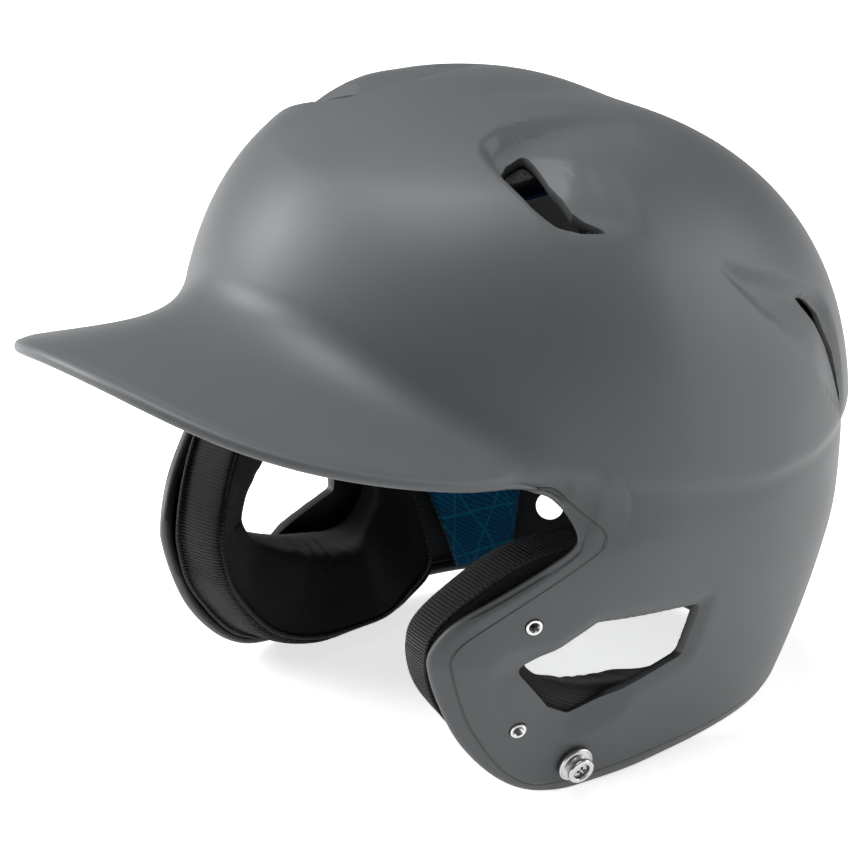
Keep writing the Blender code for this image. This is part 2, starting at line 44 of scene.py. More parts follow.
# ---- the shell's sizes ---------------------------------------------------------------------
HALF_WIDTH, HEIGHT, WIDEST_LEVEL = 106.0, 221.0, 97.0
FOREHEAD_REACH, NAPE_REACH, CROWN_FORWARD = 107.0, 127.0, 14.0
BILL_REACH, BILL_HALF_WIDTH, BILL_BACK = 170.0, 93.0, 48.0
BILL_TIP_LEVEL, BILL_SIDE_LEVEL, BROW_LEVEL, BROW_FILLET = 166.0, 121.0, 155.0, 19.0
FLOOR, WALL = 4.0, 3.0
Y_SHIFT = (BILL_REACH - NAPE_REACH) / 2
FLAP_RIM = [(-51, 120), (-45, 110), (-42.5, 103), (-45.5, 98), (-65, 85), (-78, 75.5), (-84, 66),
            (-84, 57), (-80, 45), (-73, 31), (-61, 17), (-48, 8), (-34, 4.2), (-20, 4.1), (-4, 4.6),
            (14, 6.5), (40, 8)]
NAPE_RIM = [(133, 8), (148, 6), (164, 4.4), (180, 4.2)]
EAR_HOLE = [(-58, 57), (-33, 71), (10.5, 66), (7, 47), (-36, 35.5), (-44, 40)]
GROOVE = [(-110, 131), (-77.7, 125), (-51, 121), (-45.4, 117), (-38.7, 109.5), (-33, 103.5),
          (-32.6, 99.5), (-37, 96.5), (-55, 85.8), (-73.7, 71.8), (-78, 66), (-78.8, 60.5), (-73, 42),
          (-66, 30), (-57.7, 19), (-47, 11), (-37, 9.3), (-11, 9.8), (15, 12), (61, 13.5), (100, 13)]
VENT_LIP = [(36, 31), (29, 8), (28, -15), (33, -31), (50, -36.5), (71, -33), (81, -17), (85, -3)]
VENT_SLOT = [(50, -35), (43, -31), (39.5, -25), (40, -18.5), (46, -19), (57, -21.5), (67.5, -21.5),
             (80, -15.5), (76, -25), (71, -31), (63, -34.5)]
REAR_LIP = [(18, 182), (35, 174), (57, 164), (77, 152), (84, 133), (86, 108)]
REAR_SLOT = [(59, 158), (67, 154), (74.5, 147), (81, 132), (84, 112), (80.5, 123), (75.5, 136),
             (69.5, 146)]
GUARD_NUTS = [(-56, 74), (-55.5, 34.5)]
SNAP_PLACE = (-32, 16.5)
NAPE_VENT = (138.0, 28.0, 5.0)
LINER = WALL + 0.8
FOAM_THICKNESS, PAD_THICKNESS, SIDE_PAD_THICKNESS, JAW_THICKNESS = 13.0, 8.0, 7.0, 22.0
PATCH_THICKNESS, PATCH_SIZE = 1.6, 14.0
PAD_OUTLINE = [(-50, 91), (-66, 81), (-78, 66), (-76, 48), (-65, 33), (-50, 19), (-30, 11),
               (-6, 9), (16, 9), (32, 16), (31, 36), (26, 56), (14, 73), (-6, 86), (-28, 92)]
PAD_HOLE = [(-42, 72), (-52, 65), (-56, 57), (-50, 49), (-40, 43), (-28, 38), (-16, 35), (-3, 33),
            (8, 34), (17, 40), (20, 49), (19, 60), (12, 68), (-8, 74), (-28, 75)]
PAD_PATCHES = [("front", -70, 55), ("rear", -8, 26)]
BILL_ANGLE = 64.0  # degrees round the head, from the forehead, where the bill ends
BILL_POWER = 2.3  # how square the bill's outline is
ARCH_FRONT, ARCH_BACK, ARCH_SIDE = 2.6, 2.03, 2.8  # how full the dome is each way
SIDE_FROM, EAR_TOP = 40.0, 110.0  # the wall round the ear: further out, and lower, than these
ABOVE_NOTCH, NOTCH_REACH, HEAD_MIDDLE = (98, -36, 111), 12.5, (0, 0, 110)
MERGE_DISTANCE = 0.00002


def metres(point):
    return Vector((point[0], point[1] + Y_SHIFT, point[2] - FLOOR)) * 0.001


def smooth(t):
    """Eases from 0 to 1 as t goes from 0 to 1."""
    t = np.clip(t, 0.0, 1.0)
    return t * t * (3 - 2 * t)


def arch_power(c, s):
    """How full the dome is in the direction with cosine c and sine s."""
    return (ARCH_FRONT if c > 0 else ARCH_BACK) * c * c + ARCH_SIDE * s * s


def squared(c, s, power):
    """The reach of a rounded square of size 1 in the direction with cosine c and sine s."""
    return (abs(c) ** power + abs(s) ** power) ** (-1 / power)


def wall_point(angle, z, depth=0.0):
    """A point of the head shell: angle 0 at the forehead, pi/2 at the left ear, depth inwards."""
    if depth:
        step = 0.01
        here = wall_point(angle, z)
        across = wall_point(angle + step, z) - wall_point(angle - step, z)
        low, high = max(z - 0.5, -6), min(z + 0.5, HEIGHT - 0.05)
        down = wall_point(angle, low) - wall_point(angle, high)
        return here + across.cross(down).normalized() * depth
    c, s = math.cos(angle), math.sin(angle)
    up = min(max((z - WIDEST_LEVEL) / (HEIGHT - WIDEST_LEVEL), 0.0), 1.0)
    down = max((WIDEST_LEVEL - z) / WIDEST_LEVEL, 0.0)
    arch = arch_power(c, s)
    size = (1 - up ** arch) ** (1 / arch)
    tuck = 1 - (0.24 + 0.04 * c) * down ** 1.15
    reach = FOREHEAD_REACH * (1 + 0.04 * down)
    if c <= 0:
        reach = NAPE_REACH * (1 - 0.02 * down - 0.22 * down ** 2)
    plan = 1.85 + 0.65 * min(max((110 - z) / 50, 0.0), 1.0) if c > 0 else 2.3
    k = squared(c, s, plan)
    x, y = HALF_WIDTH * size * tuck * s * k, -reach * size * c * k - CROWN_FORWARD * (1 - size)
    return Vector((x, y, z))


def angle_at(y, z):
    """The angle round the head of the wall's point at this y and level."""
    low, high = 0.0, math.pi
    for _ in range(30):
        middle = (low + high) / 2
        if wall_point(middle, z).y < y:
            low = middle
        else:
            high = middle
    return (low + high) / 2


def side_point(y, z, depth=0.0):
    """The point of the left wall at this y and level, depth inwards."""
    return wall_point(angle_at(y, z), z, depth)


def side_normal(y, z):
    return (side_point(y, z) - side_point(y, z, 1.0)).normalized()


def chain_point(points, t, closed=False):
    """A smooth curve through points, t from 0 to 1."""
    count = len(points)
    spans = count if closed else count - 1
    at = min(max(t, 0.0), 1.0) * spans
    i = min(int(at), spans - 1)
    f = at - i

    def pick(k):
        return points[k % count] if closed else points[min(max(k, 0), count - 1)]

    p0, p1, p2, p3 = pick(i - 1), pick(i), pick(i + 1), pick(i + 2)
    return tuple(0.5 * (2 * b + (c - a) * f + (2 * a - 5 * b + 4 * c - d) * f * f
                        + (3 * b - a - 3 * c + d) * f ** 3) for a, b, c, d in zip(p0, p1, p2, p3))


VENT_LIP_CURVE, REAR_LIP_CURVE, GROOVE_CURVE = (
    [chain_point(line, t) for t in np.linspace(0, 1, count)]
    for line, count in ((VENT_LIP, 50), (REAR_LIP, 40), (GROOVE, 160)))
for _ in range(12):
    GROOVE_CURVE = [((a[0] + c[0]) / 4 + b[0] / 2, (a[1] + c[1]) / 4 + b[1] / 2)
                    for a, b, c in zip(GROOVE_CURVE[:1] + GROOVE_CURVE, GROOVE_CURVE,
                                       GROOVE_CURVE[1:] + GROOVE_CURVE[-1:])]


# ---- shader writing --------------------------------------------------------------------------
class Value:
    """A shader socket that takes arithmetic."""

    def __init__(self, finish, socket):
        self.finish, self.socket = finish, socket

    def math(self, operation, *ends):
        return self.finish.node("Math", {"operation": operation}, {i: e for i, e in enumerate(ends)})

    def __add__(self, other):
        return self.math("ADD", self, other)

    def __sub__(self, other):
        return self.math("SUBTRACT", self, other)

    def __rsub__(self, other):
        return self.math("SUBTRACT", other, self)

    def __mul__(self, other):
        return self.math("MULTIPLY", self, other)

    def __truediv__(self, other):
        return self.math("DIVIDE", self, other)

    def __abs__(self):
        return self.math("ABSOLUTE", self)

    __radd__, __rmul__ = __add__, __mul__

    def fraction(self):
        return self.math("FRACT", self)

    def ramp(self, low, high):
        """0 below low, 1 above high, eased between."""
        return self.finish.node("MapRange", {"interpolation_type": "SMOOTHSTEP"},
                                {0: self, 1: low, 2: high, 3: 0.0, 4: 1.0})


class Finish:
    """One procedural material."""

    def __init__(self, name, roughness, metallic=0.0, specular=0.5, sheen=0.0):
        self.material = bpy.data.materials.new(name)
        self.material.use_nodes = True
        self.tree = self.material.node_tree
        self.shader = self.tree.nodes["Principled BSDF"]
        for socket, value in (("Roughness", roughness), ("Metallic", metallic),
                              ("Specular IOR Level", specular), ("Sheen Weight", sheen)):
            self.shader.inputs[socket].default_value = value

    def node(self, kind, settings=None, inputs=None, output=0):
        """A node of one kind: its settings first, then its sockets' values or links."""
        node = self.tree.nodes.new("ShaderNode" + kind)
        for key, value in (settings or {}).items():
            setattr(node, key, value)
        for key, value in (inputs or {}).items():
            if isinstance(value, Value):
                self.tree.links.new(value.socket, node.inputs[key])
            else:
                node.inputs[key].default_value = value
        return Value(self, node.outputs[output])

    def place(self):
        """Object coordinates."""
        return self.node("TexCoord", output=3)

    def uv(self):
        split = self.node("SeparateXYZ", inputs={0: self.node("UVMap")})
        return split, Value(self, split.socket.node.outputs[1])

    def number(self, name):
        """A number that the mesh carries at its vertices."""
        return self.node("Attribute", {"attribute_name": name}, output=2)

    def noise(self, scale, detail=3.0):
        return self.node("TexNoise", inputs={"Vector": self.place(), "Scale": scale, "Detail": detail})

    def mix(self, mask, low, high):
        """A colour between two colours."""
        node = self.node("Mix", {"data_type": "RGBA"}, {0: mask}, output=2)
        for socket, colour in ((6, low), (7, high)):
            target = node.socket.node.inputs[socket]
            if isinstance(colour, Value):
                self.tree.links.new(colour.socket, target)
            else:
                target.default_value = (*colour, 1)
        return node

    def link_surface(self, colour, roughness, height, depth):
        """Links what varies over the surface into the shader; a height of 1 is depth metres."""
        bump = self.node("Bump", inputs={"Strength": 1.0, "Distance": depth, "Height": height})
        for name, value in (("Base Color", colour), ("Roughness", roughness), ("Normal", bump)):
            self.tree.links.new(value.socket, self.shader.inputs[name])
        return self.material


def shell_finish():
    f = Finish("charcoal shell", 0.5, specular=0.4)
    cloud, grain = f.noise(9, 4), f.noise(1500, 2)
    line = 1 - abs(f.number("groove")).ramp(0.1, 0.5)
    inside = f.number("inside")
    base = f.mix(cloud, (0.084, 0.09, 0.094), (0.1, 0.106, 0.11))
    base = f.mix(1 - f.number("rim").ramp(0.2, 2.6), base, (0.125, 0.132, 0.137))
    # Painted shade: the inner face is the same plastic as the outside, coloured near-black for the
    # shade inside the helmet.
    base = f.mix(inside, base, (0.014, 0.015, 0.016))
    # Painted shade: the groove is darkened where shade falls in it; its dent comes from the bump.
    base = f.mix(line * 0.55, base, (0.02, 0.021, 0.022))
    rough = 0.42 + 0.12 * f.noise(25, 5) + inside * 0.1
    return f.link_surface(base, rough, grain * 0.06 + cloud * 0.04 - line * 0.6, 0.0005)


def foam_finish():
    f = Finish("impact foam", 0.9, specular=0.2)
    cells = f.node("TexVoronoi", inputs={"Vector": f.place(), "Scale": 700.0})
    base = f.mix(cells.ramp(0.1, 0.7), (0.012, 0.012, 0.013), (0.03, 0.03, 0.032))
    return f.link_surface(base, 0.82 + 0.12 * f.noise(60), cells * -1.0, 0.0005)


def printed_finish():
    f = Finish("blue printed knit", 0.75, specular=0.25, sheen=0.25)
    x, y = f.uv()
    spacing, lattice = 16.0, None
    for degrees in (90, 30, 150):
        c, s = math.cos(math.radians(degrees)), math.sin(math.radians(degrees))
        across = (x * c + y * s) / spacing
        away = abs(across.fraction() - 0.5) * spacing
        line = 1 - away.ramp(0.25, 0.6)
        lattice = line if lattice is None else lattice.math("MAXIMUM", lattice, line)
    c, s = math.cos(math.radians(62)), math.sin(math.radians(62))
    hatch = abs(((x * c + y * s) / 1.7).fraction() - 0.5).ramp(0.17, 0.3)
    knit = abs((x / 0.9).fraction() - 0.5) * abs((y / 0.7).fraction() - 0.5)
    base = f.mix(hatch, (0.002, 0.1, 0.28), (0.002, 0.25, 0.5))
    base = f.mix(lattice, base, (0.01, 0.4, 0.62))
    base = f.mix(f.noise(30, 4) * 0.25, base, (0.001, 0.14, 0.32))
    return f.link_surface(base, 0.68 + 0.2 * f.noise(200), knit * 2.0 + lattice * 0.4, 0.0003)


def jaw_finish():
    f = Finish("black knit", 0.9, specular=0.18, sheen=0.15)
    x, y = f.uv()
    gusset = f.number("gusset")
    ribs = abs((x / 1.15).fraction() - 0.5) * 2
    knit = abs((x / 0.8).fraction() - 0.5) * abs((y / 0.6).fraction() - 0.5) * 2
    base = f.mix(ribs.ramp(0.15, 0.6) * gusset, (0.009, 0.009, 0.01), (0.026, 0.026, 0.028))
    base = f.mix(f.noise(40, 4) * 0.5, base, (0.014, 0.014, 0.016))
    height = ribs * gusset + knit * (1 - gusset) * 0.6 + f.noise(350) * 0.2
    return f.link_surface(base, 0.82 + 0.14 * f.noise(90), height, 0.0006)


def piping_finish():
    f = Finish("piping", 0.7, specular=0.3)
    x, _ = f.uv()
    twist = abs((x / 1.6).fraction() - 0.5) * 2
    return f.link_surface(f.mix(twist, (0.008, 0.008, 0.009), (0.02, 0.02, 0.022)), 0.62 + 0.15 * f.noise(300),
                  twist, 0.0002)


def hook_finish():
    f = Finish("hook and loop", 1.0, specular=0.1)
    loops = f.node("TexVoronoi", inputs={"Vector": f.place(), "Scale": 900.0})
    base = f.mix(loops, (0.008, 0.008, 0.008), (0.035, 0.035, 0.037))
    return f.link_surface(base, 0.9 + 0.1 * f.noise(100), loops, 0.0006)


def metal_finish(name, colour, dull, roughness):
    f = Finish(name, roughness, metallic=1.0)
    smear = f.noise(180, 4)
    base = f.mix(smear.ramp(0.35, 0.75) * 0.6, colour, dull)
    return f.link_surface(base, roughness - 0.05 + 0.18 * smear, f.noise(2200, 2), 0.00003)


# ---- mesh building ---------------------------------------------------------------------------
def new_object(name, bm, material, sharp=35):
    """An object from a bmesh, with edges sharper than so many degrees left hard."""
    mesh = bpy.data.meshes.new(name)
    bm.to_mesh(mesh)
    bm.free()
    mesh.materials.append(material)
    mesh.shade_smooth()
    mesh.set_sharp_from_angle(angle=math.radians(sharp))
    obj = bpy.data.objects.new(name, mesh)
    bpy.context.scene.collection.objects.link(obj)
    return obj


def surface(columns, rows, point, uv=None):
    """A grid of columns by rows whose vertex (i, j) lies at point(i, j), with uv(i, j) on it."""
    bm = bmesh.new()
    bmesh.ops.create_grid(bm, x_segments=columns - 1, y_segments=rows - 1, size=0.5)
    places = {}
    for vert in bm.verts:
        i = round((vert.co.x + 0.5) * (columns - 1))
        j = round((vert.co.y + 0.5) * (rows - 1))
        places[vert] = (i, j)
        vert.co = metres(point(i, j))
    if uv:
        layer = bm.loops.layers.uv.new("UVMap")
        for face in bm.faces:
            for loop in face.loops:
                loop[layer].uv = uv(*places[loop.vert])
    bmesh.ops.remove_doubles(bm, verts=bm.verts, dist=MERGE_DISTANCE)
    bmesh.ops.recalc_face_normals(bm, faces=bm.faces)
    return bm


def mirrored(obj, name):
    """The right-hand twin of a left-hand piece."""
    mesh = obj.data.copy()
    mesh.transform(Matrix.Diagonal((-1, 1, 1, 1)))
    mesh.flip_normals()
    twin = bpy.data.objects.new(name, mesh)
    bpy.context.scene.collection.objects.link(twin)
    for mod in obj.modifiers:
        copy = twin.modifiers.new(mod.name, mod.type)
        copy.levels = mod.levels
        copy.render_levels = mod.render_levels
    return twin


def carve(obj, cutter):
    """Takes the cutter's space out of obj and keeps the result in its mesh."""
    mod = obj.modifiers.new("Cut", "BOOLEAN")
    mod.operation, mod.solver, mod.object = "DIFFERENCE", "MANIFOLD", cutter
    bpy.context.view_layer.update()
    graph = bpy.context.evaluated_depsgraph_get()
    mesh = bpy.data.meshes.new_from_object(obj.evaluated_get(graph))
    obj.modifiers.clear()
    obj.data = mesh
    bpy.data.objects.remove(cutter)


def subdivided(obj, levels=1):
    mod = obj.modifiers.new("Smooth", "SUBSURF")
    mod.levels = mod.render_levels = levels


def fit(obj, body, slot, *nodes):
    """Says what a piece rides on and hides the nodes that it stands for; slot is not used."""
    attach(obj, body)
    if nodes:
        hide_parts(*nodes)
    return obj


# ---- the shell --------------------------------------------------------------------------------
BILL_COLUMNS, FLAP_COLUMNS, BODY_ROWS = 46, 132, 112
EDGE_ROWS = [16.0, 13.6, 11.4, 9.4, 7.6, 6.0, 4.6, 3.4, 2.3]
RIM_ROWS = np.array(EDGE_ROWS[1:] + [0.0])
RIM_THICKNESS, RIM_STEP, RIM_TUCK, EAR_LIP = 4.4, 0.5, 0.9, 1.6
BILL_STEPS, CROWN_STEPS, FLAP_STEPS = 140, 200, 200
FLAP_TOP_LEVEL = WIDEST_LEVEL + 28
MID_FLAP_COLUMN = BILL_COLUMNS + 63


def bill_line(turn):
    """A rib down the forehead and out along the bill: turn 0 at the tip, pi/2 at the side."""
    c, s = math.cos(turn), math.sin(turn)
    k = squared(c, s, BILL_POWER)
    ahead = c * k
    rise = 0.73 * ahead + 0.27 * ahead ** 6
    edge = Vector((BILL_HALF_WIDTH * s * k, -BILL_BACK - (BILL_REACH - BILL_BACK) * ahead,
                   BILL_SIDE_LEVEL + (BILL_TIP_LEVEL - BILL_SIDE_LEVEL) * rise))
    angle = turn * math.radians(BILL_ANGLE) / (math.pi / 2)
    root = BROW_LEVEL - float(smooth(turn / (math.pi / 2))) ** 1.3 * (BROW_LEVEL - BILL_SIDE_LEVEL - 6)
    start = root + BROW_FILLET
    top, corner = wall_point(angle, start), wall_point(angle, root)
    out = corner.lerp(edge, 0.45) + Vector((0, 0, 3.5 * math.cos(turn)))
    line = crown_line(angle, start)
    for t in np.linspace(0, 1, BILL_STEPS)[1:]:
        u = 1 - t
        line.append(top * u ** 3 + corner * 3 * u * u * t + out * 3 * u * t * t + edge * t ** 3)
    return line


def crown_line(angle, low):
    """A rib from the crown down to a level."""
    rise = (low - WIDEST_LEVEL) / (HEIGHT - WIDEST_LEVEL)
    bottom = math.asin(min(max(rise, 0.0), 1.0))
    line = [Vector((0, -CROWN_FORWARD, HEIGHT))]
    for t in np.linspace(0, 1, CROWN_STEPS)[1:]:
        lift = math.sin(math.pi / 2 + (bottom - math.pi / 2) * t)
        line.append(wall_point(angle, WIDEST_LEVEL + (HEIGHT - WIDEST_LEVEL) * lift))
    return line


RIM_PLACES = [(math.degrees(angle_at(y, z)), z) for y, z in FLAP_RIM] + NAPE_RIM


def flap_line(t):
    """A rib down the side or the back to the rim: t 0 at the bill's end, 1 at the nape's middle."""
    rim_angle, rim_z = chain_point(RIM_PLACES, t)
    rim_angle = math.radians(min(rim_angle, 180.0))
    top_angle, top_z = math.radians(BILL_ANGLE + (180 - BILL_ANGLE) * t ** 1.5), FLAP_TOP_LEVEL
    bend = max(top_angle - rim_angle, 0.0)
    hook = float(smooth(rim_z / 45))
    knee_angle = (top_angle + rim_angle) / 2 * (1 - hook) + (top_angle - 0.1 * bend) * hook
    knee_z = (top_z + rim_z) / 2 * (1 - hook) + (rim_z - 0.1 * math.degrees(bend)) * hook
    line = crown_line(top_angle, top_z)
    for f in np.linspace(0, 1, FLAP_STEPS)[1:]:
        u = 1 - f
        line.append(wall_point(top_angle * u * u + knee_angle * 2 * u * f + rim_angle * f * f,
                               top_z * u * u + knee_z * 2 * u * f + rim_z * f * f))
    return line


def rows_from_rim(line):
    """The same rib with rows at set distances from its rim end and even ones above them."""
    line = np.array([tuple(p) for p in line])
    along = np.concatenate([[0], np.cumsum(np.linalg.norm(np.diff(line, axis=0), axis=1))])
    body = np.linspace(0, along[-1] - EDGE_ROWS[0], BODY_ROWS)
    at = np.concatenate([body, along[-1] - RIM_ROWS])
    return np.stack([np.interp(at, along, line[:, k]) for k in range(3)], axis=1)


def soften(grid, middle, reach, spread, rim_too=False):
    """Evens out the columns on both sides of one of them, with the rim itself only if asked."""
    source = grid.copy()
    share = np.ones(grid.shape[1])
    if not rim_too:
        share[BODY_ROWS:] = smooth(RIM_ROWS / 15)
    offsets = np.arange(-12, 13)
    for c in range(middle - reach, middle + reach + 1):
        sigma = spread * (1 - abs(c - middle) / (reach + 1)) + 0.01
        weights = np.exp(-0.5 * (offsets / sigma) ** 2)
        even = (source[c + offsets] * weights[:, None, None]).sum(0) / weights.sum()
        grid[c] += (even - grid[c]) * share[:, None]


def outward(grid):
    """The grid's outward normals, straight up at the crown."""
    across, down = np.gradient(grid, axis=0), np.gradient(grid, axis=1)
    normal = -np.cross(across, down)
    normal[0, :, 0] = normal[-1, :, 0] = 0
    size = np.linalg.norm(normal, axis=2, keepdims=True)
    normal = normal / np.maximum(size, 1e-9)
    normal[:, 0] = (0, 0, 1)
    return normal


def line_distance(a, b, line, closed=False):
    """Distance to a polyline in a plane, and the place of its nearest point along it (0 to 1)."""
    points = np.array(line + line[:1] if closed else line, float)
    best, place = np.full(a.shape, 1e9), np.zeros(a.shape)
    for i in range(len(points) - 1):
        (a0, b0), (a1, b1) = points[i], points[i + 1]
        da, db = a1 - a0, b1 - b0
        t = np.clip(((a - a0) * da + (b - b0) * db) / (da * da + db * db), 0, 1)
        gap = np.hypot(a - a0 - t * da, b - b0 - t * db)
        closer = gap < best
        best = np.where(closer, gap, best)
        place = np.where(closer, (i + t) / (len(points) - 1), place)
    return best, place


def inside(a, b, line):
    """True within a closed outline."""
    result = np.zeros(a.shape, bool)
    for (a0, b0), (a1, b1) in zip(line, line[1:] + line[:1]):
        crosses = ((b0 > b) != (b1 > b)) & (a < (a1 - a0) * (b - b0) / ((b1 - b0) or 1e-9) + a0)
        result ^= crosses
    return result


def valley(gap, place, depth, wall, run):
    """A step down beside a line that runs out again, fading towards both ends of the line."""
    ends = np.sin(np.pi * place) ** 0.8
    return depth * ends * smooth(gap / wall) * (1 - smooth((gap - wall) / run))


def beside_ear(p):
    """True on the part of the wall that the ear opening is in."""
    return (p[..., 0] > SIDE_FROM) & (p[..., 2] < EAR_TOP)


def ear_dish(p):
    """How far the wall sinks round the ear opening: most on its front and lower side."""
    y, z = p[..., 1], p[..., 2]
    gap, _ = line_distance(y, z, EAR_HOLE, closed=True)
    gap = np.where(inside(y, z, EAR_HOLE), 0, gap)
    front = smooth((-30 - y) / 15 + (52 - z) / 12)
    return (1.8 + 2.0 * front) * np.clip(1 - gap / (4 + 6 * front), 0, 1) * beside_ear(p)


def relief(p):
    """How far the vents' scoops, the band above the ears and the crown's top stand in."""
    x, y, z = p[..., 0], p[..., 1], p[..., 2]
    gap, place = line_distance(x, y, VENT_LIP_CURVE)
    upper = valley(gap, place, 6.0, 5.5, 26.0) * inside(x, y, VENT_LIP_CURVE) * (z > 140)
    gap, place = line_distance(y, z, REAR_LIP_CURVE)
    rear = valley(gap, place, 3.4, 2.6, 20.0) * inside(y, z, REAR_LIP_CURVE) * (x > SIDE_FROM)
    high = np.interp(y, [-68, -50, -24, 3, 37, 63, 81, 130], [134, 128, 122, 116, 109, 108, 110, 113])
    low = np.interp(y, [-68, -36, -7, 23, 63, 90, 130], [124, 117, 109, 103, 100, 101, 104])
    end = 1 - smooth((low - z) / 38)
    band = 2.6 * smooth((y + 72) / 30) * smooth((high - z) / (high - low)) * end
    top = 2.4 * smooth((z - 205) / 15)
    return upper + rear + band + top


def shell_grid():
    """The left half's plain outer surface, one column for each rib from the bill to the nape."""
    lines = [bill_line(c / BILL_COLUMNS * math.pi / 2) for c in range(BILL_COLUMNS + 1)]
    lines += [flap_line((c + 1) / FLAP_COLUMNS) for c in range(FLAP_COLUMNS)]
    grid = np.array([rows_from_rim(line) for line in lines])
    soften(grid, BILL_COLUMNS, 14, 4.5, True)
    soften(grid, MID_FLAP_COLUMN, 14, 6.0)
    grid[0, :, 0] = grid[-1, :, 0] = 0
    grid[:, 0] = (0, -CROWN_FORWARD, HEIGHT)
    return grid


def shell_layers():
    """Outer face, rolled rim and inner face of the left half, as one long grid."""
    grid = shell_grid()
    normal = outward(grid)
    rim = grid[:, -1]
    along = np.gradient(rim, axis=0)
    along /= np.linalg.norm(along, axis=1, keepdims=True)
    ahead = np.cross(along, normal[:, -1])
    ahead *= np.sign(((rim - grid[:, -3]) * ahead).sum(1))[:, None]
    ahead[0, 0] = ahead[-1, 0] = 0
    sunk, dish = relief(grid), ear_dish(grid)
    outer = grid - normal * (sunk + dish)[..., None]
    from_rim = np.concatenate([np.full(BODY_ROWS, EDGE_ROWS[0]), RIM_ROWS])
    outer -= normal * (RIM_TUCK * (1 - smooth(from_rim / 6)))[None, :, None]
    outer = outer[:, :-1]
    radius = RIM_THICKNESS / 2
    up = normal[:, -1]
    centre = rim - ahead * radius - up * (radius + RIM_STEP)
    roll = [centre + up * radius * math.cos(a) + ahead * radius * math.sin(a)
            for a in np.linspace(0, math.pi, 9)[1:-1]]
    flange, _ = line_distance(grid[..., 1], grid[..., 2], EAR_HOLE, closed=True)
    lip = EAR_LIP * (1 - smooth((flange - 2.5) / 3.5)) * beside_ear(grid)
    rim_share = 1 - smooth((from_rim - 2) / 6)
    thick = WALL + (RIM_THICKNESS + RIM_STEP - WALL) * rim_share[None, :] + lip
    inner = grid - normal * (thick + sunk + dish * 0.4)[..., None]
    kept = list(range(0, BODY_ROWS, 2)) + list(range(BODY_ROWS, grid.shape[1] - 1))
    inner = inner[:, kept][:, ::-1]
    half = np.concatenate([outer, np.stack(roll, axis=1), inner], axis=1)
    half[0, :, 0] = half[-1, :, 0] = 0
    return half, rim


def polygon_prism(bm, outline, place, low, high):
    """A closed block: the outline, put in space by place(a, b, height), from low to high."""
    verts = [bm.verts.new(metres(place(a, b, low))) for a, b in outline]
    face = bm.faces.new(verts)
    raised = bmesh.ops.extrude_face_region(bm, geom=[face])["geom"]
    tops = [v for v in raised if isinstance(v, bmesh.types.BMVert)]
    shift = metres(place(*outline[0], high)) - metres(place(*outline[0], low))
    bmesh.ops.translate(bm, verts=tops, vec=shift)


def rounded(corners, radius, steps=5):
    """An outline with its corners rounded."""
    points, count = [], len(corners)
    for i, corner in enumerate(corners):
        here = Vector(corner)
        before = Vector(corners[i - 1]) - here
        after = Vector(corners[(i + 1) % count]) - here
        half = math.acos(max(-1.0, min(1.0, before.normalized().dot(after.normalized())))) / 2
        reach = min(radius / math.tan(half), before.length * 0.45, after.length * 0.45)
        start, end = here + before.normalized() * reach, here + after.normalized() * reach
        for k in range(steps + 1):
            t = k / steps
            points.append(tuple(start * (1 - t) ** 2 + here * 2 * t * (1 - t) + end * t * t))
    return points


def shell_openings():
    """One cutter for the ear openings, the slots in the vents and the round holes."""
    bm = bmesh.new()
    polygon_prism(bm, rounded(EAR_HOLE, 3.0), lambda a, b, h: (h, a, b), -150, 150)
    for side in (1, -1):
        slot, rear = rounded(VENT_SLOT, 1.6, 3), rounded(REAR_SLOT, 1.2, 3)
        polygon_prism(bm, slot, lambda a, b, h, s=side: (s * a, b, h), 170, 240)
        polygon_prism(bm, rear, lambda a, b, h, s=side: (s * h, a, b), 60, 130)
        rods = [(side_point(y, z), side_normal(y, z), 3.1) for y, z in GUARD_NUTS]
        rods.append((side_point(*SNAP_PLACE), side_normal(*SNAP_PLACE), 1.8))
        angle, z, radius = NAPE_VENT
        point = wall_point(math.radians(angle), z)
        rods.append((point, point - wall_point(math.radians(angle), z, 1.0), radius))
        for point, direction, radius in rods:
            point, direction = (Vector((v.x * side, v.y, v.z)) for v in (point, direction))
            turn = direction.to_track_quat("Z", "Y").to_matrix().to_4x4()
            bmesh.ops.create_cone(bm, cap_ends=True, segments=40, radius1=radius * 0.001,
                                  radius2=radius * 0.001, depth=0.03,
                                  matrix=Matrix.Translation(metres(point)) @ turn)
    bmesh.ops.recalc_face_normals(bm, faces=bm.faces)
    return new_object("openings", bm, materials["shell"])


def vertex_rows(mesh, name):
    """A vertex property of a mesh as rows of three numbers."""
    values = np.empty(len(mesh.vertices) * 3)
    mesh.vertices.foreach_get(name, values)
    return values.reshape(-1, 3)


def mark(mesh, name, values):
    """Puts one number on each vertex for a material to read."""
    attribute = mesh.attributes.new(name, "FLOAT", "POINT")
    attribute.data.foreach_set("value", np.asarray(values, np.float32))


